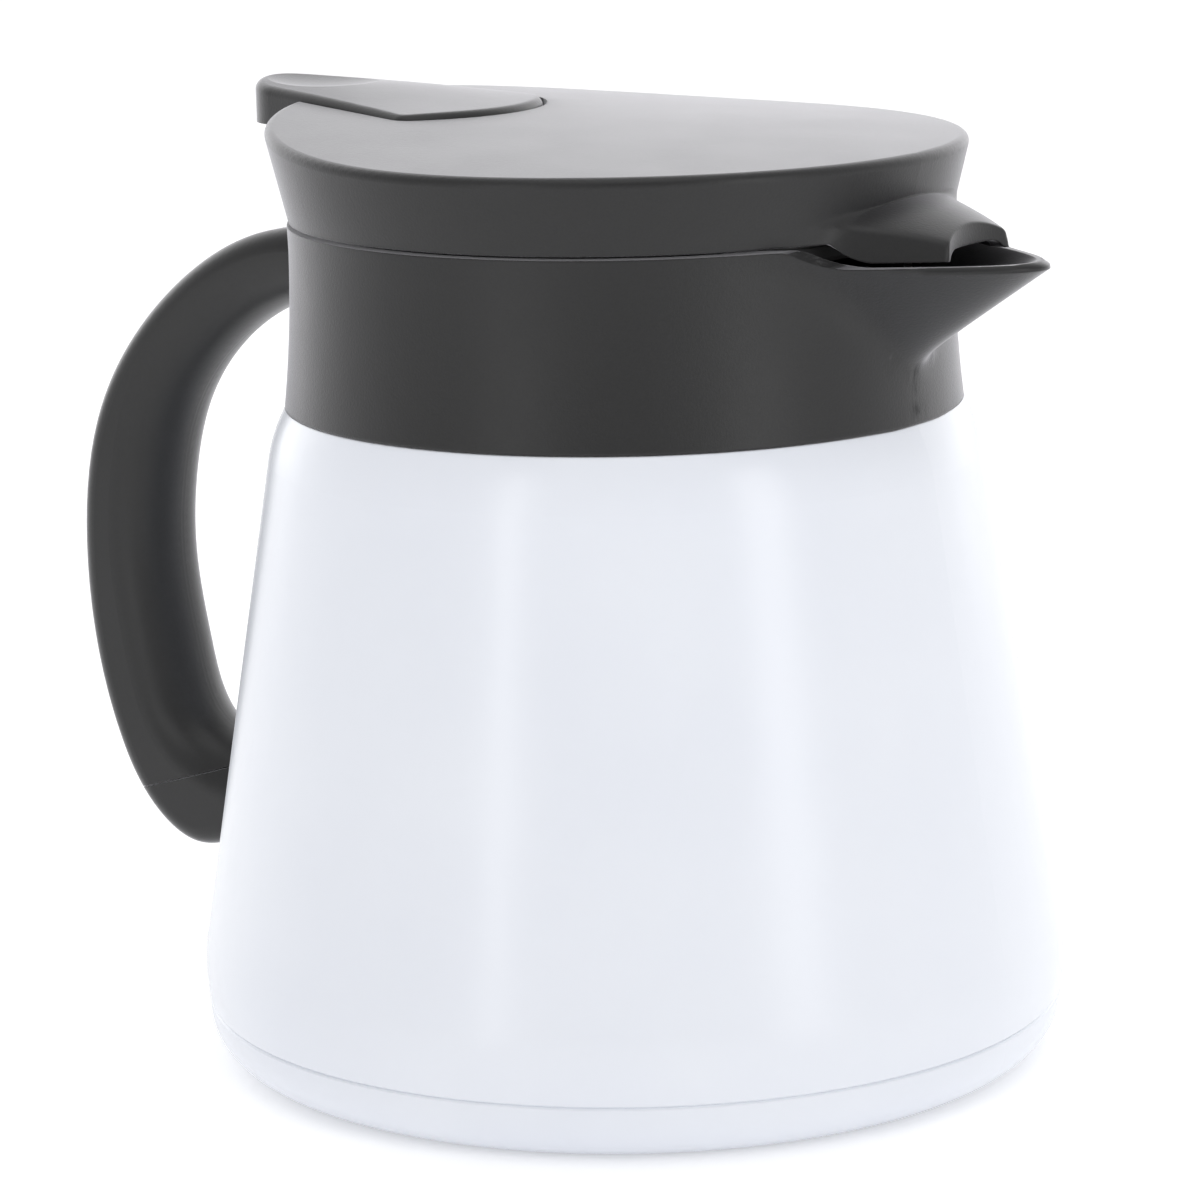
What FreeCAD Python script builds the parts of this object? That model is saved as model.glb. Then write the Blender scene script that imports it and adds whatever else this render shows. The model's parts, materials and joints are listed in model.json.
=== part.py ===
import FreeCAD, Part
import math
import os

# Thermal coffee server, millimetres.
# Origin: centre of the standing ring. +Z up, +X towards the spout, handle at -X.

# Steel vessel
wide_radius = 58.5
wide_height = 12.8
seam_radius = 58.05
seam_height = 8.0
seam_groove = 0.25
foot_radius = 51.0
shell_thickness = 0.8
cone_foot_height = 17.6
cone_foot_radius = 58.0
shoulder_height = 81.5
shoulder_radius = 47.72
shoulder_curve = 20.0
neck_radius = 42.6
neck_top = 99.7
lip_top = 100.5
flask_bore = 39.5
flask_thickness = 0.7
flask_floor = 9.0

# Collar and spout
collar_foot = 86.5
collar_top = 113.0
collar_waist = 44.0
collar_flare = 1.35
collar_bore = 40.0
collar_ledge = 111.0
ledge_radius = 41.9
spout_tip = 64.7
spout_rim = 110.5
spout_root = 98.5
spout_slope = 1.73
spout_half_angle = 25.0
spout_tip_softness = 0.16
spout_blend = 2.6
spout_wall = 2.3
step_start = 40.0
step_end = 47.0
step_round = 3.4

# Handle
handle_width = 15.5
handle_back_edge = 3.0
handle_palm_edge = 7.4
screw_height = 27.9
bracket_bottom = 25.4
bracket_top = 30.4

# Lid
lid_foot = 113.5
lid_foot_radius = 44.0
lid_flare = 0.2424
lid_rim_radius = 46.4
lid_top = 123.4
lid_rear_rise = 0.001875
lid_crown = 2.0
lid_crown_growth = 0.025
cover_thickness = 1.8
cover_edge = 1.1
skirt_wall = 2.2
flange_bottom = 111.1
flange_top = 112.7
plate_top = 113.9
beak_front = 54.7
beak_crest = 117.6
beak_crest_start = 44.0
beak_fall = 0.0288
beak_arch = 0.042
beak_side = 50.5
beak_side_turn = 0.75
beak_side_lean = 0.9
beak_gap = 0.5
beak_skin = 1.6
lid_screw_circle = 39.3
lid_screw_angles = (50, 125, -125, -50)

# Lever and valve
pivot_x = -23.5
pivot_z = 121.8
pin_radius = 1.25
pin_length = 39.0
lug_middle = 18.2
running_clearance = 0.05
lever_skirt = 123.5
lever_front_centre = -37.0
lever_front_curve = 20.4
lever_corner = 2.5
lever_corner_angle = 47.0
lever_thumb_centre = -49.9
lever_thumb = 8.5
lever_edge = 1.2
dish_radius = 40.0
dish_x = -47.0
dish_bottom = 128.3
hub_radius = 2.6
hub_half_length = 15.2
slot_clearance = 0.6
well_floor = 117.4
well_front = -28.0
stem_radius = 2.5
seat_height = 89.0
seat_radius = 11.0
head_bottom = 116.85
fork_top = 116.4
spring_radius = 6.2
spring_wire = 0.9
spring_turns = 6.5

far = 80.0
up = FreeCAD.Vector(0, 0, 1)
origin = FreeCAD.Vector(0, 0, 0)


def point(x, y, z):
    return FreeCAD.Vector(x, y, z)


def in_xz(a, b):
    return FreeCAD.Vector(a, 0, b)


# A closed outline: two numbers make a straight step, four make an arc (through, end).
def face_of(start, steps, place=in_xz):
    edges = []
    here = place(*start)
    for step in list(steps) + [start]:
        there = place(*step[-2:])
        if len(step) == 4:
            edges.append(Part.Arc(here, place(*step[:2]), there).toShape())
        elif here.distanceToPoint(there) > 1e-6:
            edges.append(Part.LineSegment(here, there).toShape())
        here = there
    return Part.Face(Part.Wire(edges))


def turned(start, *steps):
    return face_of(start, steps).revolve(origin, up, 360)


def across(half_width, start, *steps):
    face = face_of(start, steps)
    face.translate(point(0, -half_width, 0))
    return face.extrude(point(0, 2 * half_width, 0))


def along_x(x_from, x_to, start, *steps):
    face = face_of(start, steps, lambda a, b: point(x_from, a, b))
    return face.extrude(point(x_to - x_from, 0, 0))


def rod(radius, z_from, z_to, x=0.0, y=0.0):
    return Part.makeCylinder(radius, z_to - z_from, point(x, y, z_from), up)


def cross_rod(radius, half_length, x, z):
    return Part.makeCylinder(radius, 2 * half_length, point(x, -half_length, z), point(0, 1, 0))


def block(x_from, x_to, half_width, z_from, z_to):
    return Part.makeBox(x_to - x_from, 2 * half_width, z_to - z_from, point(x_from, -half_width, z_from))


def arc_point(centre, radius, degrees):
    angle = math.radians(degrees)
    return (centre[0] + radius * math.cos(angle), centre[1] + radius * math.sin(angle))


cone_angle = math.degrees(math.atan2(cone_foot_radius - shoulder_radius, shoulder_height - cone_foot_height))
shoulder_centre = arc_point((shoulder_radius, shoulder_height), -shoulder_curve, cone_angle)
shoulder_end = 34.0
shoulder_middle = 0.5 * (cone_angle + shoulder_end)


# The outer wall's curve, a given depth under the painted surface, from the seam up to the neck.
def wall_steps(depth):
    side = depth / math.cos(math.radians(cone_angle))
    curve = shoulder_curve - depth
    return [
        (wide_radius - depth, wide_height, cone_foot_radius - side, cone_foot_height),
        (shoulder_radius - side, shoulder_height),
        arc_point(shoulder_centre, curve, shoulder_middle) + arc_point(shoulder_centre, curve, shoulder_end),
        (neck_radius - depth, 91.6 + 0.4 * depth),
        (neck_radius - depth, neck_top),
    ]


def reversed_steps(start, steps):
    corners = [start] + [step[-2:] for step in steps]
    back = []
    for index in range(len(steps) - 1, -1, -1):
        back.append(steps[index][:-2] + corners[index])
    return corners[-1], back


def make_outer_shell():
    inside_foot = (seam_radius - shell_thickness, seam_height)
    inner_start, inner_back = reversed_steps(inside_foot, wall_steps(shell_thickness))
    return turned(
        (seam_radius - seam_groove, seam_height),
        (seam_radius, seam_height + seam_groove),
        *wall_steps(0.0),
        inner_start,
        *inner_back,
    )


def make_base_cap():
    floor = 2.6
    thick = shell_thickness
    return turned(
        (seam_radius - seam_groove, seam_height),
        (seam_radius, seam_height - seam_groove),
        (56.3, 2.6, foot_radius, 0.0),
        (48.2, 0.0),
        (45.4, floor),
        (1.5, floor),
        (1.5, floor + thick),
        (45.1, floor + thick),
        (48.0, thick),
        (foot_radius, thick),
        (55.65, 3.15, seam_radius - thick, seam_height),
    )


def make_evacuation_seal():
    return turned((0, 1.6), (1.9, 1.75, 3.4, 2.6), (1.5, 2.6), (1.5, 3.4), (0, 3.4))


def make_getter_capsule():
    return rod(5.0, 3.4, 5.4, x=22.0)


def make_inner_flask():
    t = flask_thickness
    bore = flask_bore
    return turned(
        (neck_radius, neck_top),
        (neck_radius, lip_top),
        (bore + 0.9, lip_top),
        (bore + 0.25, lip_top - 0.25, bore, lip_top - 0.9),
        (bore, 90.0),
        (bore + 0.5, 86.2, 41.7, 82.6),
        (52.1, 18.2),
        (50.6, 11.4, 43.5, flask_floor),
        (0, flask_floor),
        (0, flask_floor - t),
        (43.5, flask_floor - t),
        (51.1, 10.9, 52.1 + t, 18.2),
        (41.7 + t, 82.75),
        (bore + t + 0.5, 86.3, bore + t, 90.0),
        (bore + t, neck_top),
    )


# A level section: a round ring that swells at +X as far as reach_at(turn) asks, with a smooth meeting.
def swelling_section(z, ring, reach_at, blend, count):
    points = []
    for index in range(count):
        u = 2.0 * index / count - 1.0
        turn = math.pi * math.copysign(abs(u) ** 1.7, u)
        reach = reach_at(abs(turn))
        radius = 0.5 * (ring + reach + math.hypot(reach - ring, blend))
        points.append(point(radius * math.cos(turn), radius * math.sin(turn), z))
    curve = Part.BSplineCurve()
    curve.interpolate(Points=points, PeriodicFlag=True, Parameters=list(range(count + 1)))
    return Part.Wire(curve.toShape())


# The spout in plan: a wedge with a softened tip.
def collar_section(z, ring, tip):
    half = math.radians(spout_half_angle)
    across_tip = tip * math.sin(half + spout_tip_softness)

    def wedge(turn):
        return across_tip / math.sin(min(half + math.hypot(turn, spout_tip_softness), math.pi / 2))

    return swelling_section(z, ring, wedge, spout_blend, 40)


def collar_ring(z):
    return collar_waist - 0.12 + collar_flare * max(0.0, (collar_top - z) / 24.6) ** 2.2


def spout_reach(z):
    return max(36.0, collar_waist - 0.4 + spout_slope * (z - spout_root))


# Evenly spaced sections joined by cubic curves, which keeps the skin free of waves.
def lofted_collar(z_from, z_to, count, ring, reach):
    heights = [z_from + (z_to - z_from) * index / (count - 1) for index in range(count)]
    return Part.makeLoft([collar_section(z, ring(z), reach(z)) for z in heights], True, False, False, 3)


# The ring with its spout, and the bead that runs round the spout's rim.
def make_collar_envelope():
    skin = lofted_collar(collar_foot, collar_top, 13, collar_ring, spout_reach)
    bead = []
    for drop, inset in ((1.15, 1.6), (0.9, 0.55), (0.5, 0.05), (-1.0, 0.0)):
        bead.append(collar_section(spout_rim - drop, collar_waist - 1.2, spout_tip - inset))
    return skin.fuse(Part.makeLoft(bead, True, True))


def make_trough():
    return lofted_collar(
        99.0,
        114.0,
        7,
        lambda z: collar_bore - 2.0,
        lambda z: collar_waist - 1.6 + spout_slope * (z - spout_root - spout_wall),
    )


# Everything above the collar's rim, which falls in a soft S from the ring to the lower rim of the spout.
def above_rim():
    run = step_end - step_start
    fall = collar_top - spout_rim
    bend = 2 * math.degrees(math.atan2(fall, run))
    hollow_round = run / math.sin(math.radians(bend)) - step_round
    crown = (step_start, collar_top - step_round)
    valley = (step_end, spout_rim + hollow_round)
    turn_over = arc_point(crown, step_round, 90 - bend)
    return across(
        30.0,
        (step_start, collar_top),
        arc_point(crown, step_round, 90 - bend / 2) + turn_over,
        arc_point(valley, hollow_round, 270 - bend / 2) + (step_end, spout_rim),
        (far, spout_rim),
        (far, 140.0),
        (step_start, 140.0),
    )


def make_collar(envelope):
    curve = shoulder_curve + 0.12
    hollow = turned(
        (0, 80.0),
        arc_point(shoulder_centre, curve, 8.0),
        arc_point(shoulder_centre, curve, 22.0) + arc_point(shoulder_centre, curve, shoulder_end + 0.5),
        (neck_radius + 0.3, 91.9),
        (neck_radius + 0.3, 101.7),
        (collar_bore, 101.7),
        (collar_bore, collar_ledge),
        (ledge_radius, collar_ledge),
        (ledge_radius, 120.0),
        (0, 120.0),
    )
    tongue_pocket = block(-46.0, -41.4, 4.1, 102.1, 105.9)
    collar = envelope.cut(hollow).cut(make_trough().common(block(0, far, 30, 101.9, 130)))
    return collar.cut(above_rim()).cut(tongue_pocket)


def make_neck_seal():
    return turned((40.3, lip_top), (neck_radius, lip_top), (neck_radius, 101.7), (40.3, 101.7))


# Side view of the grip: an outer curve and an inner curve, each through a few points.
def make_grip():
    outer_points = [(-40, 107.8), (-58.0, 107.7), (-72.3, 99.6), (-86.2, 81.8), (-90.05, 60.0), (-85.5, 34.2)]
    outer_points += [(-78.4, 22.6), (-71.6, 18.9), (-61.0, 22.2), (-54, 24.8)]
    inner_points = [(-54, 35.2), (-63.5, 33.5), (-71.0, 37.1), (-74.7, 46.5), (-76.9, 60.0), (-76.0, 72.0)]
    inner_points += [(-72.9, 81.8), (-64.8, 91.8), (-56.0, 97.1), (-40, 98.8)]
    outer = Part.BSplineCurve()
    outer.interpolate([in_xz(*p) for p in outer_points])
    inner = Part.BSplineCurve()
    inner.interpolate([in_xz(*p) for p in inner_points])
    foot = Part.LineSegment(in_xz(*outer_points[-1]), in_xz(*inner_points[0]))
    root = Part.LineSegment(in_xz(*inner_points[-1]), in_xz(*outer_points[0]))
    face = Part.Face(Part.Wire([outer.toShape(), foot.toShape(), inner.toShape(), root.toShape()]))
    face.translate(point(0, -handle_width / 2, 0))
    grip = face.extrude(point(0, handle_width, 0))
    palm = [edge for edge in grip.Edges if edge.Length > 100 and edge.BoundBox.XMin > -85]
    grip = grip.makeFillet(handle_palm_edge, palm)
    back = [edge for edge in grip.Edges if edge.Length > 100 and edge.BoundBox.XMin < -89]
    return grip.makeFillet(handle_back_edge, back)


# The foot's cover: everything below a slanted seam, with a strip that runs up the grip's back.
def make_cap_region(gap):
    foot = across(far, (-95, 22.2 - gap), (-76.4, 27.6 - gap), (-54, 34.4 - gap), (-54, 10), (-95, 10))
    strip = across(5.2 - gap, (-77.2 - gap, 24.0), (-88.0 - gap, 42.2 - gap), (-99, 36), (-90, 15), (-78, 15))
    return foot.fuse(strip)


def make_handle_parts(envelope, body):
    grip = make_grip().cut(envelope).cut(body)
    cap_hollow = block(-77.0, -50.0, 5.6, bracket_bottom - 0.4, bracket_top + 0.4)
    cap_hollow = cap_hollow.fuse(block(-77.0, -66.0, 5.6, 21.8, 40.0))
    cap = grip.common(make_cap_region(0.15)).cut(cap_hollow)
    tang = block(-76.4, -66.3, 5.2, 22.2, 36.0).common(grip)
    tongue = block(-46.0, -41.6, 4.0, 102.2, 105.8)
    handle = grip.cut(make_cap_region(0.0)).fuse(tang)
    handle = handle.fuse(tongue.cut(make_grip().cut(envelope)))
    driver_way = Part.makeCylinder(3.6, 30, point(-72.0, 0, screw_height), point(-1, 0, 0))
    shank_way = Part.makeCylinder(1.7, 12, point(-74.0, 0, screw_height), point(1, 0, 0))
    handle = handle.cut(driver_way.common(block(-80, -60, 8, 20, 33))).cut(shank_way).removeSplitter()
    return handle, cap


def make_bracket(body):
    bracket = block(-66.2, -50.0, 4.5, bracket_bottom, bracket_top)
    bracket = bracket.cut(block(-65.2, -40.0, 3.5, 15.0, 40.0))
    hole = Part.makeCylinder(1.5, 6, point(-68.0, 0, screw_height), point(1, 0, 0))
    return bracket.cut(body).cut(hole)


def make_handle_screw():
    toward = point(1, 0, 0)
    shank = Part.makeCylinder(1.5, 9.5, point(-72.0, 0, screw_height), toward)
    head = Part.makeCylinder(3.2, 1.6, point(-73.6, 0, screw_height), toward)
    slot = block(-74.0, -72.8, 3.0, screw_height - 0.35, screw_height + 0.35)
    return head.fuse(shank).cut(slot).removeSplitter()


# An arched line across the part, closed by two sides and a floor.
def closed_below(arc, floor):
    left, right = [vertex.Point for vertex in arc.Vertexes]
    corners = [right, point(right.x, right.y, floor), point(left.x, left.y, floor), left]
    return Part.Wire([arc] + Part.makePolygon(corners).Edges)


# Everything under the lid's top face, lowered by a given depth: level at the spout, rising to the rear.
def under_lid_top(depth):
    wires = []
    for x in (-62, -42, -21, 0, 21, 42, 62):
        rim = lid_top + lid_rear_rise * min(x, 0) ** 2
        crown = lid_crown - lid_crown_growth * x
        middle = rim + crown * (1 - x ** 2 / lid_rim_radius ** 2) - depth
        half = 52.0
        side = middle - crown * half ** 2 / lid_rim_radius ** 2
        arc = Part.Arc(point(x, -half, side), point(x, 0, middle), point(x, half, side)).toShape()
        wires.append(closed_below(arc, 100))
    return Part.makeLoft(wires, True)


def lid_radius(z):
    return lid_foot_radius + lid_flare * (z - lid_foot)


# The lever in plan: a front arc, two rounded corners, straight sides and a round thumb end.
def lever_face(z):
    corner = arc_point((lever_front_centre, 0), lever_front_curve - lever_corner, lever_corner_angle)
    run = corner[0] - lever_thumb_centre
    lean = math.acos((lever_thumb - lever_corner) / math.hypot(run, corner[1]))
    side = math.degrees(math.atan2(corner[1], run) + lean)
    front = arc_point(corner, lever_corner, lever_corner_angle)
    bend = arc_point(corner, lever_corner, 0.5 * (lever_corner_angle + side))
    shoulder = arc_point(corner, lever_corner, side)
    thumb = arc_point((lever_thumb_centre, 0), lever_thumb, side)

    def other(p):
        return (p[0], -p[1])

    return face_of(
        other(front),
        [
            (lever_front_centre + lever_front_curve, 0) + front,
            bend + shoulder,
            thumb,
            (lever_thumb_centre - lever_thumb, 0) + other(thumb),
            other(shoulder),
            other(bend) + other(front),
        ],
        lambda a, b: point(a, b, z),
    )


# The lever's outline grown by a margin and run upwards.
def lever_well(margin, z_from):
    face = Part.Face(lever_face(z_from).OuterWire.makeOffset2D(margin))
    well = face.extrude(point(0, 0, 145.0 - z_from))
    if well.Volume < 0:
        well.reverse()
    return well


# The beak, level by level: roof, slanting sides and front meet in soft edges and run into the lid's side.
def beak_section(forward, inset):
    root = beak_crest_start + forward - inset
    if forward > 0:
        z = beak_crest - beak_fall * forward ** 2
    else:
        z = beak_crest + 0.09 * forward ** 2
    side = beak_side - beak_side_lean * (z - 111.0) - 1.2 * inset

    def reach(turn):
        turn = min(turn, 1.0)
        c = math.cos(turn)
        s = max(math.sin(turn), 0.001)
        roof = (math.sqrt(c ** 2 + 4 * beak_arch * root * s ** 2) - c) / (2 * beak_arch * s ** 2)
        flank = side / (s + beak_side_turn * c)
        front = (beak_front - inset) / c
        sharpness = 26.0
        return (roof ** -sharpness + flank ** -sharpness + front ** -sharpness) ** (-1 / sharpness)

    return swelling_section(z - inset, lid_radius(z) - 0.35 - inset, reach, 2.0, 72)


def beak_solid(inset):
    return Part.makeLoft([beak_section(forward, inset) for forward in range(-4, 17)], True, False, False, 3)


def make_beak():
    beak = beak_solid(0.0).cut(beak_solid(beak_skin)).cut(rod(lid_foot_radius - 0.5 * skirt_wall, 90, 140))
    edge_round = 6.25
    edge_end = spout_rim + beak_gap
    edge_middle = arc_point((47.3, edge_end + edge_round), edge_round, 243.5)
    under_edge = across(
        far,
        (42.3, lid_foot),
        edge_middle + (47.3, edge_end),
        (far, edge_end),
        (far, 90.0),
        (-far, 90.0),
        (-far, lid_foot),
    )
    mouth = along_x(
        50.0,
        far,
        (-8.0, 108.0),
        (-8.0, 110.2),
        (-7.0, 111.5, -4.5, 112.1),
        (4.5, 112.1),
        (7.0, 111.5, 8.0, 110.2),
        (8.0, 108.0),
    )
    return beak.cut(under_edge).cut(mouth)


def lid_screw_places():
    places = []
    for degrees in lid_screw_angles:
        places.append(arc_point((0, 0), lid_screw_circle, degrees))
    return places


# A solid with the lid's slanting side, drawn in by a given depth.
def lid_cone(depth):
    high = 131.0
    low = lid_foot - 1.0
    return turned((0, low), (lid_radius(low) - depth, low), (lid_radius(high) - depth, high), (0, high))


# The lid's whole outer moulding: top, side, beak, pin lugs, screw posts and the well under the thumb end.
def make_lid_cover():
    cover = lid_cone(0.0).common(under_lid_top(0.0)).common(rod(far, lid_foot, 140))
    rim = [edge for edge in cover.Edges if edge.BoundBox.ZMin > 120 and edge.BoundBox.XLength > 20]
    cover = cover.makeFillet(cover_edge, rim)
    cover = cover.cut(lid_cone(skirt_wall).common(under_lid_top(cover_thickness)))
    cover = cover.fuse(make_beak())
    below = under_lid_top(cover_thickness - 0.6)
    for x, y in lid_screw_places():
        cover = cover.fuse(rod(2.6, plate_top, 130, x, y).common(below))
    for side in (-1, 1):
        lug = across(1.5, (-27.3, 130), (-26.9, 120.6), (pivot_x, 118.6, -20.1, 120.6), (-19.7, 130))
        lug.translate(point(0, side * lug_middle, 0))
        cover = cover.fuse(lug.common(below))
    wall = 1.4
    tub = lever_well(slot_clearance + wall, well_floor - wall).common(block(-far, well_front, 20, 100, 140))
    cover = cover.fuse(tub.common(below).common(lid_cone(0.5 * skirt_wall)))
    cover = cover.cut(lever_well(slot_clearance, well_floor))
    hub_room = slot_clearance
    cover = cover.cut(cross_rod(hub_radius + hub_room, hub_half_length + hub_room, pivot_x, pivot_z))
    cover = cover.cut(cross_rod(pin_radius, pin_length / 2, pivot_x, pivot_z))
    for x, y in lid_screw_places():
        cover = cover.cut(rod(1.0, 110, 120.0, x, y))
    return cover


def make_stopper():
    outer = 38.6
    inner = 36.2
    cup = turned(
        (seat_radius, seat_height - 2.0),
        (outer - 1.2, seat_height - 2.0),
        (outer - 0.35, seat_height - 1.65, outer, seat_height - 0.8),
        (outer, 94.0),
        (outer - 1.0, 94.0),
        (outer - 1.0, 97.0),
        (outer, 97.0),
        (outer, flange_bottom),
        (41.4, flange_bottom),
        (41.4, flange_top),
        (inner, flange_top),
        (inner, seat_height + 2.0),
        (inner - 0.6, seat_height + 0.6, inner - 2.0, seat_height),
        (seat_radius, seat_height),
    )
    cup = cup.cut(block(30.0, 45.0, 11.0, 101.9, 110.2))
    for x, y in lid_screw_places():
        cup = cup.cut(rod(1.25, 105, 115, x, y)).cut(rod(2.1, flange_bottom, flange_bottom + 1.1, x, y))
    return cup


def make_lid_gasket():
    return turned(
        (37.6, 94.0),
        (38.6, 94.0),
        (39.2, 94.5, 39.25, 95.2),
        (38.9, 95.5),
        (39.2, 96.2, 38.7, 97.0),
        (37.6, 97.0),
    )


def make_stem_guide():
    plate = turned(
        (stem_radius + running_clearance, 106.5),
        (4.6, 106.5),
        (4.6, flange_top),
        (41.2, flange_top),
        (41.2, plate_top),
        (stem_radius + running_clearance, plate_top),
    )
    for x, y in lid_screw_places():
        plate = plate.cut(rod(1.25, 110, 117, x, y))
    return plate


def make_lid_screws():
    screws = []
    for x, y in lid_screw_places():
        head = rod(2.0, flange_bottom, flange_bottom + 1.1, x, y)
        shank = rod(1.0, flange_bottom + 1.1, 119.5, x, y)
        screws.append(head.fuse(shank).removeSplitter())
    return Part.makeCompound(screws)


def make_lever_pin():
    return cross_rod(pin_radius, pin_length / 2, pivot_x, pivot_z)


# The lever's top: arched sections that climb from the front edge to the thumb end.
def under_lever_top(depth):
    half = 16.5
    wires = []
    for x, crest, low in ((-66, 130.1, 125.2), (-46, 129.1, 126.4), (-27, 128.1, 127.4), (-8, 127.2, 126.7)):
        ends = (point(x, -half, low - depth), point(x, half, low - depth))
        arc = Part.Arc(ends[0], point(x, 0, crest - depth), ends[1]).toShape()
        wires.append(closed_below(arc, 100))
    return Part.makeLoft(wires, True)


def make_lever():
    skin = 1.7
    blank = lever_face(lever_skirt).extrude(point(0, 0, 12)).common(under_lever_top(0.0))
    top_edges = [edge for edge in blank.Edges if edge.BoundBox.ZMin > lever_skirt + 1]
    blank = blank.makeFillet(lever_edge, top_edges)
    blank = blank.cut(Part.makeSphere(dish_radius, point(dish_x, 0, dish_bottom + dish_radius)))
    hollow = Part.Face(lever_face(lever_skirt - 1).OuterWire.makeOffset2D(-skin)).extrude(point(0, 0, 12))
    hollow = under_lever_top(2.6).common(hollow).common(block(-far, -29.0, 20, 100, 140))
    blank = blank.cut(hollow)
    hub = cross_rod(hub_radius, hub_half_length, pivot_x, pivot_z)
    arm = across(
        6.0,
        (pivot_x - 1.5, 119.4),
        (-10.0, fork_top - 1.9),
        (4.0, fork_top - 1.9),
        (4.0, fork_top - 1.0),
        (0.0, fork_top, -4.0, fork_top - 1.0),
        (-9.0, fork_top - 0.2),
        (pivot_x + 2.6, 123.0),
    )
    arm = arm.cut(block(-5.0, 10.0, 3.0, 100.0, 130.0))
    lever = blank.fuse(hub).fuse(arm)
    bore = cross_rod(pin_radius + running_clearance, 20, pivot_x, pivot_z)
    return lever.cut(bore).removeSplitter()


def make_valve_stem():
    bottom = seat_height + 0.1
    return turned(
        (0, bottom - 1.1),
        (5.0, bottom - 1.1),
        (5.0, bottom),
        (stem_radius, bottom),
        (stem_radius, bottom + 1.5),
        (12.4, bottom + 1.5),
        (12.4, bottom + 2.7),
        (4.0, bottom + 3.1),
        (4.0, bottom + 6.0),
        (stem_radius, bottom + 7.0),
        (stem_radius, head_bottom + 1.6),
        (0, head_bottom + 1.6),
    )


def make_valve_seal():
    bottom = seat_height + 0.1
    top = bottom + 1.5
    return turned((stem_radius, bottom), (13.2, bottom), (13.2, top - 0.5), (12.7, top), (stem_radius, top))


def make_stem_head():
    return turned(
        (stem_radius, head_bottom),
        (6.4, head_bottom),
        (6.4, head_bottom + 1.2),
        (6.0, head_bottom + 1.6),
        (stem_radius, head_bottom + 1.6),
    )


# Two tangent arcs from one point and direction to another.
def biarc(a, a_dir, b, b_dir):
    span = b - a
    both = a_dir + b_dir
    spread = 2.0 * (1.0 - a_dir.dot(b_dir))
    reach = (math.sqrt(span.dot(both) ** 2 + spread * span.dot(span)) - span.dot(both)) / spread
    middle = (a + b + (a_dir - b_dir) * reach) * 0.5
    arcs = []
    for start, end, direction in ((a, middle, a_dir), (middle, b, b_dir)):
        chord = end - start
        unit = chord * (1.0 / chord.Length)
        lean = direction - unit * direction.dot(unit)
        if start == middle:
            lean = lean * -1.0
        angle = math.atan2(lean.Length, direction.dot(unit))
        lean.normalize()
        through = (start + end) * 0.5 + lean * (0.5 * chord.Length * math.tan(angle / 2))
        arcs.append(Part.Arc(start, through, end).toShape())
    return arcs


def make_valve_spring():
    low = seat_height + 3.7
    high = flange_top - 0.6
    pitch = (high - low) / spring_turns
    steps = int(spring_turns * 4)

    def coil_point(turns):
        angle = 2 * math.pi * turns
        return point(spring_radius * math.cos(angle), spring_radius * math.sin(angle), low + pitch * turns)

    def coil_direction(turns):
        angle = 2 * math.pi * turns
        along = point(-math.sin(angle), math.cos(angle), pitch / (2 * math.pi * spring_radius))
        return along.normalize()

    edges = []
    for index in range(steps):
        a = index * spring_turns / steps
        b = (index + 1) * spring_turns / steps
        edges += biarc(coil_point(a), coil_direction(a), coil_point(b), coil_direction(b))
    start = coil_point(0)
    wire_circle = Part.Circle(start, coil_direction(0), spring_wire / 2)
    shell = Part.BRepOffsetAPI.MakePipeShell(Part.Wire(edges))
    shell.add(Part.Wire(wire_circle.toShape()))
    shell.build()
    shell.makeSolid()
    samples = 200
    coil = [coil_point(index * spring_turns / samples) for index in range(samples + 1)]
    apart = int(0.6 * samples / spring_turns)
    gaps = [coil[i].distanceToPoint(coil[j]) for i in range(samples) for j in range(i + apart, samples)]
    print("spring least gap between turns", round(min(gaps) - spring_wire, 2))
    return shell.shape()


def build():
    body = turned((0, 0), (seam_radius, 0), (seam_radius, seam_height), *wall_steps(0.0), (0, neck_top))
    envelope = make_collar_envelope()
    handle, end_cap = make_handle_parts(envelope, body)
    return {
        "outer_shell": make_outer_shell(),
        "base_cap": make_base_cap(),
        "inner_flask": make_inner_flask(),
        "getter_capsule": make_getter_capsule(),
        "evacuation_seal": make_evacuation_seal(),
        "collar": make_collar(envelope),
        "neck_seal": make_neck_seal(),
        "handle": handle,
        "handle_end_cap": end_cap,
        "handle_bracket": make_bracket(body),
        "handle_screw": make_handle_screw(),
        "lid_cover": make_lid_cover(),
        "stopper": make_stopper(),
        "stem_guide": make_stem_guide(),
        "lid_gasket": make_lid_gasket(),
        "lid_screws": make_lid_screws(),
        "lever_pin": make_lever_pin(),
        "lever": make_lever(),
        "valve_stem": make_valve_stem(),
        "valve_seal": make_valve_seal(),
        "stem_head": make_stem_head(),
        "valve_spring": make_valve_spring(),
    }


os.makedirs("parts", exist_ok=True)
for name, shape in build().items():
    print(name, shape.isValid(), len(shape.Solids), round(shape.Volume, 1))
    shape.exportStep("parts/" + name + ".step")
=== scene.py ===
import json
import math
import bpy
import numpy as np
from mathutils import Matrix, Vector


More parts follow.
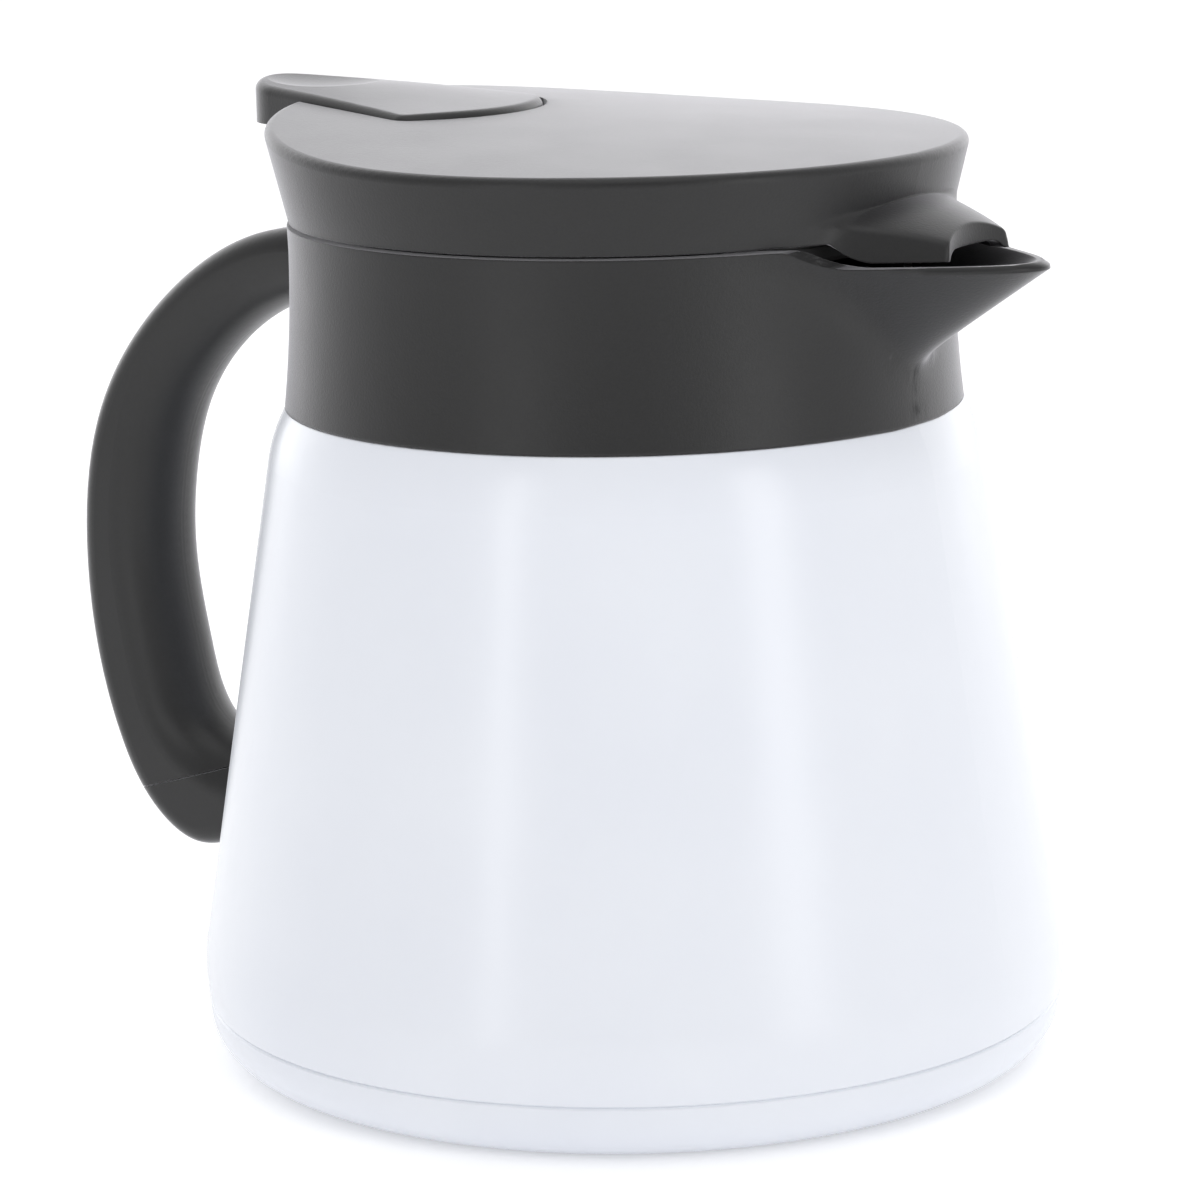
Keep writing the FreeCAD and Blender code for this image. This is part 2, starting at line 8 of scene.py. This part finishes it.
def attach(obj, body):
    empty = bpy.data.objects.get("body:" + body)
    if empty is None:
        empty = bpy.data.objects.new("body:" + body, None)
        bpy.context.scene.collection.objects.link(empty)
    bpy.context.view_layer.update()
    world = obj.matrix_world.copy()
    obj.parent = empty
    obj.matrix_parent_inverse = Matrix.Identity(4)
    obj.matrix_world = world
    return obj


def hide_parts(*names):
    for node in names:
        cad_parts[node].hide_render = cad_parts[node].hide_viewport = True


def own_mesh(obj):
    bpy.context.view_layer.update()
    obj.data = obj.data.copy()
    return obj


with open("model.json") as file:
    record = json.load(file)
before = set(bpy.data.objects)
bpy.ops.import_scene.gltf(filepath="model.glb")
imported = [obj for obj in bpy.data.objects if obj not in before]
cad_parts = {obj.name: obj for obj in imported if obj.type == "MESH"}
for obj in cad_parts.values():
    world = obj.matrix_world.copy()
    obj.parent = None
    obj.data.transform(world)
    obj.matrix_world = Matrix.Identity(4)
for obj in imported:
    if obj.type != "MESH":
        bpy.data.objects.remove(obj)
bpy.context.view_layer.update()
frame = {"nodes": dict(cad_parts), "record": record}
nodes = frame["nodes"]
print("frame loaded:", len(nodes), "nodes")


# A socket that can be used in sums, so that shader maths reads as maths.
class Wire:
    def __init__(self, tree, socket):
        self.tree = tree
        self.socket = socket

    # Any node: its settings first, then the values or links of its sockets.
    def node(self, kind, settings=None, inputs=None, output=0):
        made = self.tree.nodes.new(kind)
        for key, value in (settings or {}).items():
            setattr(made, key, value)
        for key, value in (inputs or {}).items():
            if isinstance(value, Wire):
                self.tree.links.new(value.socket, made.inputs[key])
            else:
                made.inputs[key].default_value = value
        return Wire(self.tree, made.outputs[output])

    def maths(self, operation, first, second):
        return self.node("ShaderNodeMath", {"operation": operation}, {0: first, 1: second})

    def __add__(self, other):
        return self.maths("ADD", self, other)

    def __radd__(self, other):
        return self.maths("ADD", other, self)

    def __sub__(self, other):
        return self.maths("SUBTRACT", self, other)

    def __rsub__(self, other):
        return self.maths("SUBTRACT", other, self)

    def __mul__(self, other):
        return self.maths("MULTIPLY", self, other)

    def __rmul__(self, other):
        return self.maths("MULTIPLY", other, self)

    def noise(self, size, detail, rough=0.5):
        inputs = {"Vector": self, "Scale": 1.0 / size, "Detail": detail, "Roughness": rough}
        return self.node("ShaderNodeTexNoise", {}, inputs)

    def between(self, low, high):
        inputs = {"Value": self, "From Min": low, "From Max": high, "To Min": 0.0, "To Max": 1.0}
        return self.node("ShaderNodeMapRange", {"clamp": True}, inputs)

    def tint(self, dark, light):
        inputs = {"Factor": self, 6: (*dark, 1.0), 7: (*light, 1.0)}  # 6 and 7 take colours
        return self.node("ShaderNodeMix", {"data_type": "RGBA"}, inputs, output=2)


noiseSpan = (0.3, 0.7)  # where most of a noise's values lie
plasticIor = 1.5


def newMaterial(name):
    material = bpy.data.materials.new(name)
    material.use_nodes = True
    tree = material.node_tree
    shader = tree.nodes["Principled BSDF"]
    place = Wire(tree, tree.nodes.new("ShaderNodeTexCoord").outputs["Object"])
    return material, shader, place


def setShader(shader, constants, wires):
    for key, value in constants.items():
        shader.inputs[key].default_value = value
    for key, wire in wires.items():
        wire.tree.links.new(wire.socket, shader.inputs[key])


# Fine relief, on edges that look slightly rounded where a width is given.
def bump(height, strength, distance, edge=None, samples=6):
    inputs = {"Height": height, "Strength": strength, "Distance": distance}
    if edge:
        inputs["Normal"] = height.node("ShaderNodeBevel", {"samples": samples}, {"Radius": edge})
    return height.node("ShaderNodeBump", {}, inputs)


def drift(wire, look):
    return wire.between(*noiseSpan).tint(look["dark"], look["light"])


def gloss(wire, look):
    return wire * (look["roughHigh"] - look["roughLow"]) + look["roughLow"]


paintLook = {
    "dark": (0.775, 0.800, 0.862),
    "light": (0.800, 0.824, 0.880),
    "peelSize": 0.0016,
    "peelDepth": 0.00006,
    "peelStrength": 0.12,
    "patchSize": 0.03,
    "roughLow": 0.20,
    "roughHigh": 0.27,
    "edge": 0.0002,
}


def whitePaint():
    look = paintLook
    material, shader, place = newMaterial("cool white paint")
    peel = place.noise(look["peelSize"], 1.5)
    patch = place.noise(look["patchSize"], 3.0)
    setShader(
        shader,
        {"IOR": plasticIor},
        {
            "Base Color": drift(patch, look),
            "Roughness": gloss(patch, look),
            "Normal": bump(peel, look["peelStrength"], look["peelDepth"], look["edge"]),
        },
    )
    return material


charcoalLook = {
    "dark": (0.0036, 0.0036, 0.0040),
    "light": (0.0064, 0.0063, 0.0069),
    "grainSize": 0.00035,
    "grainDepth": 0.00008,
    "cloudSize": 0.012,
    "roughLow": 0.40,
    "roughHigh": 0.45,
    "edge": 0.0003,
    "sheen": 0.86,
}
satinLook = {
    "dark": (0.0042, 0.0042, 0.0045),
    "light": (0.0066, 0.0066, 0.0070),
    "grainSize": 0.00055,
    "grainDepth": 0.00003,
    "cloudSize": 0.02,
    "roughLow": 0.36,
    "roughHigh": 0.44,
    "edge": 0.0002,
    "sheen": 0.68,
}
innerLook = {
    "dark": (0.0300, 0.0300, 0.0310),
    "light": (0.0380, 0.0380, 0.0390),
    "grainSize": 0.0008,
    "grainDepth": 0.00004,
    "cloudSize": 0.02,
    "roughLow": 0.34,
    "roughHigh": 0.46,
    "edge": 0.0002,
    "sheen": 0.05,
}
siliconeLook = {
    "dark": (0.30, 0.31, 0.31),
    "light": (0.38, 0.39, 0.39),
    "grainSize": 0.0006,
    "grainDepth": 0.00003,
    "cloudSize": 0.008,
    "roughLow": 0.55,
    "roughHigh": 0.70,
    "edge": 0.0002,
    "sheen": 0.05,
}
mouldLook = {
    "grainShare": 0.8,
    "cloudShare": 0.2,
    "grainStrength": 0.35,
    "sheenRoughness": 0.32,
    "sheenTint": (0.96, 0.95, 1.0, 1.0),
}


# Moulded plastics and silicone: a fine grain, with slow drifts of tone and gloss.
def moulded(name, look):
    material, shader, place = newMaterial(name)
    grain = place.noise(look["grainSize"], 3.0, 0.6)
    cloud = place.noise(look["cloudSize"], 3.0)
    tone = grain * mouldLook["grainShare"] + cloud * mouldLook["cloudShare"]
    setShader(
        shader,
        {
            "IOR": plasticIor,
            "Sheen Weight": look["sheen"],
            "Sheen Roughness": mouldLook["sheenRoughness"],
            "Sheen Tint": mouldLook["sheenTint"],
        },
        {
            "Base Color": drift(tone, look),
            "Roughness": gloss(cloud.between(*noiseSpan), look),
            "Normal": bump(grain, mouldLook["grainStrength"], look["grainDepth"], look["edge"]),
        },
    )
    return material


steelLook = {
    "dark": (0.55, 0.54, 0.52),
    "light": (0.66, 0.65, 0.63),
    "lineSize": 0.0004,
    "lineLength": 40.0,
    "lineDepth": 0.00002,
    "lineStrength": 0.2,
    "roughLow": 0.22,
    "roughHigh": 0.36,
}


# Steel with fine turning lines that run round the piece.
def turnedSteel(name):
    look = steelLook
    material, shader, place = newMaterial(name)
    squeeze = (1 / look["lineLength"],) * 2 + (1.0,)
    stretched = place.node("ShaderNodeVectorMath", {"operation": "MULTIPLY"}, {0: place, 1: squeeze})
    lines = stretched.noise(look["lineSize"], 2.0)
    setShader(
        shader,
        {"Metallic": 1.0},
        {
            "Base Color": drift(lines, look),
            "Roughness": gloss(lines, look),
            "Normal": bump(lines, look["lineStrength"], look["lineDepth"]),
        },
    )
    return material


finishes = {
    "white_paint": whitePaint(),
    "flask_steel": turnedSteel("flask steel"),
    "charcoal_plastic": moulded("charcoal plastic", charcoalLook),
    "handle_plastic": moulded("satin handle plastic", satinLook),
    "inner_plastic": moulded("inner plastic", innerLook),
    "silicone": moulded("grey silicone", siliconeLook),
    "hardware_steel": turnedSteel("hardware steel"),
}
for subpart in frame["record"]["subparts"]:
    piece = nodes[subpart["node"]]
    for slot in piece.material_slots:
        slot.material = finishes[subpart["material_slot"]]
print("materials set")

mmPerMetre = 1000.0
tiny = 1e-12


# A CAD node's points in millimetres, its triangles and its exact corner normals.
def readNode(name):
    node = nodes[name]
    mesh = node.data
    mesh.calc_loop_triangles()
    corners = np.empty(len(mesh.loop_triangles) * 3, dtype=np.int32)
    mesh.loop_triangles.foreach_get("loops", corners)
    vertexOf = np.empty(len(mesh.loops), dtype=np.int32)
    mesh.loops.foreach_get("vertex_index", vertexOf)
    points = np.empty(len(mesh.vertices) * 3)
    mesh.vertices.foreach_get("co", points)
    normals = np.empty(len(mesh.loops) * 3)
    mesh.corner_normals.foreach_get("vector", normals)
    world = np.array(node.matrix_world)
    points = (points.reshape(-1, 3) @ world[:3, :3].T + world[:3, 3]) * mmPerMetre
    turned = normals.reshape(-1, 3)[corners] @ world[:3, :3].T
    return points, vertexOf[corners].reshape(-1, 3), turned.reshape(-1, 3, 3)


carryLook = {"step": 0.01, "steep": 0.8, "level": 0.95, "least": 1e-6}


# Moves points by a smooth rule and carries their normals along with the surface.
def reshape(piece, rule):
    look = carryLook
    points, triangles, normals = piece
    flat = normals.reshape(-1, 3)
    base = points[triangles].reshape(-1, 3)
    upright = np.abs(flat[:, 2:])
    helper = np.where(upright < look["steep"], [[0.0, 0.0, 1.0]], [[1.0, 0.0, 0.0]])
    first = np.cross(helper, flat)
    first /= np.linalg.norm(first, axis=1, keepdims=True)
    second = np.cross(flat, first)
    step = look["step"]
    firstMoved = rule(base + first * step) - rule(base - first * step)
    secondMoved = rule(base + second * step) - rule(base - second * step)
    moved = np.cross(firstMoved, secondMoved)
    length = np.linalg.norm(moved, axis=1, keepdims=True)
    level = (upright > look["level"]) | (length < look["least"])  # level faces stay level
    moved = np.where(level, flat, moved / np.maximum(length, tiny))
    return rule(points), triangles, moved.reshape(-1, 3, 3)


# A grid of points as triangles with smooth normals.
def gridPiece(grid, flip=False):
    rows, columns = grid.shape[:2]
    index = np.arange(rows * columns).reshape(rows, columns)
    a, b, c, d = index[:-1, :-1], index[:-1, 1:], index[1:, 1:], index[1:, :-1]
    halves = (np.stack([a, b, c], -1), np.stack([a, c, d], -1))
    triangles = np.concatenate([half.reshape(-1, 3) for half in halves])
    down, along = np.gradient(grid, axis=0), np.gradient(grid, axis=1)
    normals = np.cross(along, down)
    normals /= np.maximum(np.linalg.norm(normals, axis=2, keepdims=True), tiny)
    if flip:
        triangles = triangles[:, ::-1]
        normals = -normals
    return grid.reshape(-1, 3), triangles, normals.reshape(-1, 3)[triangles]


def joined(*pieces):
    points, triangles, normals = [], [], []
    start = 0
    for piece in pieces:
        points.append(piece[0])
        triangles.append(piece[1] + start)
        normals.append(piece[2])
        start += len(piece[0])
    return np.concatenate(points), np.concatenate(triangles), np.concatenate(normals)


# Puts a detailed piece in a CAD node's place, on the same body.
def showInstead(node, name, body, piece, finish="charcoal_plastic"):
    points, triangles, normals = piece
    mesh = bpy.data.meshes.new(name)
    mesh.from_pydata((points / mmPerMetre).tolist(), [], triangles.tolist())
    mesh.polygons.foreach_set("use_smooth", [True] * len(triangles))
    mesh.normals_split_custom_set(normals.reshape(-1, 3).tolist())
    made = bpy.data.objects.new(name, mesh)
    bpy.context.scene.collection.objects.link(made)
    mesh.materials.append(finishes[finish])
    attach(made, body)
    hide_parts(node)
    print(name, "made:", len(triangles), "triangles")
    return made


# The forms below are in millimetres, with turns in radians from the spout's middle.
collarLook = {"top": 113.0, "radius": 43.88, "flare": 1.35, "height": 24.6, "power": 2.2}
solidSpout = {  # the spout as the solid has it
    "tip": 64.7,
    "softness": 0.16,
    "root": 98.5,
    "slope": 1.73,
    "wall": 2.3,
    "troughRadius": 42.4,
    "beadRing": 42.8,
    "beadBelow": (0.0, 0.5, 0.9, 1.15, 1.2),
    "beadInset": (0.02, 0.05, 0.55, 1.6, 30.0),
    "beadFrom": 109.2,
}
spoutLook = {  # the spout as it is shown
    "tip": 64.1,
    "softness": 0.11,
    "root": 95.9,
    "slope": 1.495,
    "wall": 3.3,
    "halfAngle": 25.0,
    "blend": 2.6,
    "rim": 110.5,
    "rimBelow": (0.0, 0.15, 0.45, 0.9),
    "rimInset": (1.0, 0.5, 0.15, 0.0),
    "noseRing": 52.0,
    "rootRadius": 43.6,
    "leastReach": 36.0,
    "bore": 38.0,
    "leastTrough": 40.0,
    "troughStart": 40.05,
    "leastWall": 0.1,
    "lowest": 90.0,
    "halfTurn": 1.5,
    "beadSnap": 1.3,
    "skinSnap": 0.4,
    "troughSnap": 0.3,
}


# A level section through the collar: a ring drawn out into a softened wedge.
def wedgeSection(turn, ring, tip, softness):
    half = math.radians(spoutLook["halfAngle"])
    angle = np.minimum(half + np.hypot(turn, softness), math.pi / 2)
    wedge = tip * math.sin(half + softness) / np.sin(angle)
    return 0.5 * (ring + wedge + np.hypot(wedge - ring, spoutLook["blend"]))


def collarRadius(z):
    look = collarLook
    below = np.maximum(look["top"] - z, 0.0) / look["height"]
    return look["radius"] + look["flare"] * below ** look["power"]


def spoutReach(z, look):
    drawn = spoutLook["rootRadius"] + look["slope"] * (z - look["root"])
    return np.maximum(spoutLook["leastReach"], drawn)


def spoutSkin(turn, z):
    look = spoutLook
    inset = np.interp(look["rim"] - z, look["rimBelow"], look["rimInset"])
    drawn = wedgeSection(turn, collarRadius(z), spoutReach(z, look), look["softness"])
    nose = wedgeSection(turn, look["noseRing"], look["tip"] - inset, look["softness"])
    return np.minimum(drawn, nose)


def spoutNormals(spots, turnStep=0.001, heightStep=0.02):
    x, y, z = spots.reshape(-1, 3).T
    turn = np.arctan2(y, x)

    def skinPoint(t, h):
        reach = spoutSkin(t, h)
        return np.stack([reach * np.cos(t), reach * np.sin(t), h], -1)

    around = skinPoint(turn + turnStep, z) - skinPoint(turn - turnStep, z)
    upward = skinPoint(turn, z + heightStep) - skinPoint(turn, z - heightStep)
    normals = np.cross(around, upward)
    return (normals / np.linalg.norm(normals, axis=1, keepdims=True)).reshape(spots.shape)


# The spout drawn out finer than the solid: a narrower wedge, a thinner rim and a deeper trough.
def spoutRule(points):
    look, old = spoutLook, solidSpout
    bore, least = look["bore"], look["leastTrough"]
    x, y, z = points.T
    r = np.hypot(x, y)
    turn = np.arctan2(y, x)
    bead = np.interp(look["rim"] - z, old["beadBelow"], old["beadInset"])
    oldOut = np.maximum(
        wedgeSection(turn, collarRadius(z), spoutReach(z, old), old["softness"]),
        wedgeSection(turn, old["beadRing"], old["tip"] - bead, old["softness"]),
    )
    newOut = spoutSkin(turn, z)
    oldTrough = old["troughRadius"] + old["slope"] * (z - old["root"] - old["wall"])
    newTrough = spoutReach(z, look) - look["wall"]
    oldIn = np.maximum(wedgeSection(turn, bore, oldTrough, old["softness"]), least)
    newIn = np.maximum(wedgeSection(turn, bore, newTrough, look["softness"]), least)
    inner = bore + (r - bore) * (newIn - bore) / (oldIn - bore)
    outer = newIn + (r - oldIn) * (newOut - newIn) / np.maximum(oldOut - oldIn, look["leastWall"])
    wanted = np.where(r < oldIn, inner, outer)
    nearSkin = np.where(z > old["beadFrom"], look["beadSnap"], look["skinSnap"])
    wanted = np.where(np.abs(r - oldOut) < nearSkin, newOut, wanted)
    inTrough = (np.abs(r - oldIn) < look["troughSnap"]) & (oldIn > look["troughStart"])
    wanted = np.where(inTrough, newIn, wanted)
    nearSpout = (r > bore) & (np.abs(turn) < look["halfTurn"]) & (z > look["lowest"])
    wanted = np.where(nearSpout, wanted, r)
    scale = wanted / np.maximum(r, 1e-6)
    return np.stack([x * scale, y * scale, z], -1)


skinLook = {"down": -0.9, "off": 0.01, "halfTurn": 1.4, "alike": 0.8}


# The collar with its finer spout, and the skin's exact normals where they can be worked out.
def makeCollar():
    look = skinLook
    points, triangles, normals = readNode("collar")
    heights = points[triangles][:, :, 2]
    ledge = (normals[:, :, 2] < look["down"]).all(axis=1)
    ledge &= (heights > solidSpout["beadFrom"]).all(axis=1)
    points, triangles, normals = reshape((points, triangles, normals), spoutRule)
    spots = points[triangles]
    x, y, z = spots[:, :, 0], spots[:, :, 1], spots[:, :, 2]
    turn = np.arctan2(y, x)
    offSkin = np.hypot(x, y) - spoutSkin(turn, z)
    exact = spoutNormals(spots)
    onSkin = (np.abs(offSkin) < look["off"]) & (np.abs(turn) < look["halfTurn"])
    onSkin &= z > spoutLook["lowest"]
    onSkin &= (normals * exact).sum(axis=2) > look["alike"]
    onSkin |= ledge[:, None]  # the solid's bead lies flat in the finer skin
    normals = np.where(onSkin[:, :, None], exact, normals)
    showInstead("collar", "collar_fine_spout", "server", (points, triangles, normals))


lidLook = {"radius": 44.0, "flare": 0.2424, "seam": 113.5}
beakLook = {
    "crest": 118.3,
    "crestStart": 44.0,
    "fall": 0.3,
    "fallGrowth": 0.007,
    "arch": 0.046,
    "side": 43.5,
    "sideTurn": 0.65,
    "sideLean": 0.3,
    "sideFoot": 110.5,
    "sideWall": 1.2,
    "sharpness": 130.0,
    "sunk": 0.35,
    "blendTurn": (0.15, 0.4),
    "blend": (0.15, 2.6),
    "front": 53.2,
    "frontCurve": 22.1,
    "frontEdge": 0.3,
    "openFront": 90.0,
    "wall": 1.6,
    "halfTurn": 0.72,
    "top": 119.6,
    "underside": 111.0,
    "columns": 281,
    "outerRows": 90,
    "innerRows": 24,
}


def lidRadius(z):
    return lidLook["radius"] + lidLook["flare"] * (z - lidLook["seam"])


# How far the beak reaches in each direction at a height, with its wall taken off for the inside.
def beakReach(turn, z, inset):
    look = beakLook
    level = z + inset
    fall, growth = look["fall"], look["fallGrowth"]
    forward = (np.sqrt(fall ** 2 + 4 * growth * (look["crest"] - level)) - fall) / (2 * growth)
    root = look["crestStart"] + forward - inset
    c, s = np.cos(turn), np.maximum(np.abs(np.sin(turn)), 1e-4)
    bend = look["arch"]
    roof = (np.sqrt(c ** 2 + 4 * bend * root * s ** 2) - c) / (2 * bend * s ** 2)
    side = look["side"] - look["sideLean"] * (level - look["sideFoot"]) - look["sideWall"] * inset
    flank = side / (s + look["sideTurn"] * c)
    sharp = look["sharpness"]
    hood = np.exp(-np.logaddexp(-sharp * np.log(roof), -sharp * np.log(flank)) / sharp)
    ring = lidRadius(level) - look["sunk"] - inset
    blend = np.interp(np.abs(turn), look["blendTurn"], look["blend"])
    hood = 0.5 * (ring + hood + np.hypot(hood - ring, blend))
    middle = look["front"] + look["frontCurve"]
    room = (look["frontCurve"] + inset) ** 2 - (middle * s) ** 2
    scoop = middle * c - np.sqrt(np.maximum(room, 0.0))
    scoop = np.where(room > 0, scoop, look["openFront"])
    return 0.5 * (hood + scoop - np.hypot(hood - scoop, look["frontEdge"]))


mouthLook = {
    "front": 47.3,
    "curve": 6.25,
    "curveMiddle": 117.25,
    "curveLength": 5.0,
    "sill": 110.6,
    "rise": 1.6,
    "flat": 4.2,
    "shoulder": 2.7,
    "halfWidth": 6.9,
    "rear": 42.4,
    "rearLift": 0.02,
    "rounds": 4,
}


# The beak's lower edge: it follows the collar's rim, with an arch for the mouth.
def beakFoot(turn, inset):
    look = mouthLook
    foot = np.full_like(turn, beakLook["underside"])
    for _ in range(look["rounds"]):
        reach = beakReach(turn, foot, inset)
        x, y = reach * np.cos(turn), np.abs(reach * np.sin(turn))
        behind = np.clip(look["front"] - x, 0.0, look["curveLength"])
        rise = look["curveMiddle"] - np.sqrt(np.maximum(look["curve"] ** 2 - behind ** 2, 0.0))
        aside = np.maximum(y - look["flat"], 0.0) / look["shoulder"]
        arch = look["sill"] + look["rise"] * np.sqrt(np.clip(1.0 - aside ** 2, 0.0, 1.0))
        inMouth = (x > look["front"]) & (y < look["halfWidth"])
        foot = np.maximum(rise, np.where(inMouth, arch, 0.0))
    return foot + np.where(x < look["rear"], look["rearLift"], 0.0)


def beakSkin(inset, rows):
    turn = np.linspace(-beakLook["halfTurn"], beakLook["halfTurn"], beakLook["columns"])
    share = np.linspace(0.0, 1.0, rows)[:, None]
    foot = beakFoot(turn, inset)[None, :]
    z = foot + (beakLook["top"] - inset - foot) * share
    reach = beakReach(turn[None, :] + 0 * z, z, inset)
    return np.stack([reach * np.cos(turn), reach * np.sin(turn), z], -1)


patchLook = {
    "from": 20.0,
    "ceiling": 120.5,
    "under": 0.03,
    "halfTurn": 0.85,
    "columns": 121,
    "low": 113.55,
    "high": 120.4,
    "rows": 12,
}


# The lid with a crisper beak: a roof and two sides that meet in ridges, and a scooped front.
def makeLid():
    look = patchLook
    points, triangles, normals = readNode("lid_cover")
    x, y, z = points.T
    outside = np.hypot(x, y) > lidRadius(z) + look["under"]
    outside &= (x > look["from"]) & (z < look["ceiling"])
    kept = ~outside[triangles].any(axis=1)  # the solid's own beak goes
    turn = np.linspace(-look["halfTurn"], look["halfTurn"], look["columns"])
    z = np.linspace(look["low"], look["high"], look["rows"])[:, None]
    reach = lidRadius(z) - look["under"]
    patch = np.stack([reach * np.cos(turn), reach * np.sin(turn), z + 0 * turn], -1)
    outer = beakSkin(0.0, beakLook["outerRows"])
    inner = beakSkin(beakLook["wall"], beakLook["innerRows"])
    lip = np.stack([inner[0], outer[0]])
    whole = joined(
        (points, triangles[kept], normals[kept]),
        gridPiece(patch),
        gridPiece(outer),
        gridPiece(inner, flip=True),
        gridPiece(lip),
    )
    showInstead("lid_cover", "lid_cover_crisp_beak", "lid", whole)


leverLook = {  # each section: place, crest height, height at the edges
    "half": 16.5,
    "old": ((-66, 130.1, 125.2), (-46, 129.1, 126.4), (-27, 128.1, 127.4), (-8, 127.2, 126.7)),
    "new": (
        (-66, 130.1, 125.2),
        (-46, 129.1, 126.4),
        (-30, 128.2, 126.6),
        (-16, 126.6, 126.0),
        (-8, 125.6, 125.2),
    ),
    "still": 123.6,
    "fade": 1.8,
}


# The lever's front lowered until it is almost flush with the lid.
def leverRule(points):
    look = leverLook
    x, y, z = points.T

    def top(sections):
        at, crest, low = np.array(sections, dtype=float).T
        high = np.polyval(np.polyfit(at, crest, len(at) - 1), x)
        side = np.polyval(np.polyfit(at, low, len(at) - 1), x)
        return high - (high - side) * (y / look["half"]) ** 2

    share = np.clip((z - look["still"]) / look["fade"], 0.0, 1.0)
    share = share * share * (3 - 2 * share)
    return np.stack([x, y, z + share * (top(look["new"]) - top(look["old"]))], -1)


makeCollar()
makeLid()
showInstead("lever", "lever_low_front", "lever", reshape(readNode("lever"), leverRule))
coil = readNode("valve_spring")
spring = showInstead("valve_spring", "valve_spring_coil", "lid", coil, "hardware_steel")
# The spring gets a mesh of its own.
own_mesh(spring)
print("finer pieces in place")

studio = {
    "azimuth": 34.0,
    "elevation": 12.0,
    "distance": 0.640,
    "roll": -1.21,
    "height": 0.06079,
    "sideways": -0.00379,
    "lens": 142.36,
    "nearest": 0.01,
    "worldFront": 0.52,
    "worldSides": 0.36,
    "worldBack": 0.8,
    "sidesFade": (-0.5, 0.35),
    "backFade": (0.3, 0.8),
}


def facing(azimuth, elevation):
    a = math.radians(azimuth)
    e = math.radians(elevation)
    return Vector((math.sin(a) * math.cos(e), -math.cos(a) * math.cos(e), math.sin(e)))


# A camera's or lamp's matrix at a place, with its back turned the given way.
def lookMatrix(place, back, roll):
    right = Vector((0, 0, 1)).cross(back).normalized()
    over = back.cross(right)
    r = math.radians(roll)
    turnedRight = right * math.cos(r) + over * math.sin(r)
    turnedOver = over * math.cos(r) - right * math.sin(r)
    matrix = Matrix((turnedRight, turnedOver, back)).transposed().to_4x4()
    matrix.translation = place
    return matrix, turnedRight


def makeCamera():
    back = facing(studio["azimuth"], studio["elevation"])
    middle = Vector((0, 0, studio["height"]))
    place = middle + back * studio["distance"]
    right = lookMatrix(place, back, studio["roll"])[1]
    aim = middle + right * studio["sideways"]
    data = bpy.data.cameras.new("camera")
    data.lens = studio["lens"]
    data.clip_start = studio["nearest"]
    camera = bpy.data.objects.new("camera", data)
    bpy.context.scene.collection.objects.link(camera)
    camera.matrix_world = lookMatrix(place, (place - aim).normalized(), studio["roll"])[0]
    bpy.context.scene.camera = camera


floorLook = {
    "size": 6.0,
    "dark": (0.92, 0.92, 0.925),
    "light": (0.94, 0.94, 0.945),
    "speckSize": 0.02,
    "speckSpan": (0.2, 0.8),
    "roughness": 0.9,
    "shine": 0.1,
    "glow": 0.22,
}


def makeFloor():
    look = floorLook
    half = look["size"] / 2
    corners = [(-half, -half, 0), (half, -half, 0), (half, half, 0), (-half, half, 0)]
    mesh = bpy.data.meshes.new("floor")
    mesh.from_pydata(corners, [], [(0, 1, 2, 3)])
    floor = bpy.data.objects.new("floor", mesh)
    bpy.context.scene.collection.objects.link(floor)
    material, shader, place = newMaterial("pale floor")
    speck = place.noise(look["speckSize"], 3.0)
    setShader(
        shader,
        {
            "Roughness": look["roughness"],
            "Specular IOR Level": look["shine"],
            "Emission Color": (1, 1, 1, 1),
            "Emission Strength": look["glow"],
        },
        {"Base Color": speck.between(*look["speckSpan"]).tint(look["dark"], look["light"])},
    )
    mesh.materials.append(material)


# A bright sweep behind the object and a dimmer room in front, fixed to the room.
def makeWorld():
    world = bpy.data.worlds.new("studio")
    world.use_nodes = True
    tree = world.node_tree
    bpy.context.scene.world = world
    background = tree.nodes["Background"]
    direction = Wire(tree, tree.nodes.new("ShaderNodeTexCoord").outputs["Generated"])
    away = tuple(facing(studio["azimuth"], 0.0) * -1.0)
    along = direction.node(
        "ShaderNodeVectorMath", {"operation": "DOT_PRODUCT"}, {0: direction, 1: away}, output=1
    )
    sides = along.between(*studio["sidesFade"]) * studio["worldSides"]
    back = along.between(*studio["backFade"]) * studio["worldBack"]
    glow = back + sides + studio["worldFront"]
    tree.links.new(glow.socket, background.inputs["Strength"])
    background.inputs["Color"].default_value = (1.0, 1.0, 1.0, 1.0)


softboxes = {  # turned from the camera, in degrees, metres and watts
    "stripLeft": {"turn": -36.0, "elevation": 8.0, "distance": 0.9, "size": (0.10, 0.9), "power": 1.0},
    "stripRight": {"turn": 43.0, "elevation": 8.0, "distance": 0.9, "size": (0.22, 0.9), "power": 1.6},
    "rimLeft": {"turn": -138.0, "elevation": 12.0, "distance": 0.9, "size": (0.40, 0.9), "power": 0.6},
    "rimRight": {"turn": 134.0, "elevation": 12.0, "distance": 0.9, "size": (0.45, 0.9), "power": 0.7},
    "overhead": {"turn": 0.0, "elevation": 70.0, "distance": 1.1, "size": (0.9, 0.9), "power": 2.0},
}


def makeSoftboxes():
    middle = Vector((0, 0, studio["height"]))
    for name, box in softboxes.items():
        data = bpy.data.lights.new(name, "AREA")
        data.shape = "RECTANGLE"
        data.size, data.size_y = box["size"]
        data.energy = box["power"]
        lamp = bpy.data.objects.new(name, data)
        bpy.context.scene.collection.objects.link(lamp)
        back = facing(studio["azimuth"] + box["turn"], box["elevation"])
        lamp.matrix_world = lookMatrix(middle + back * box["distance"], back, 0.0)[0]


makeCamera()
makeFloor()
makeWorld()
makeSoftboxes()
bpy.context.scene.view_settings.view_transform = "Standard"
print("studio set")
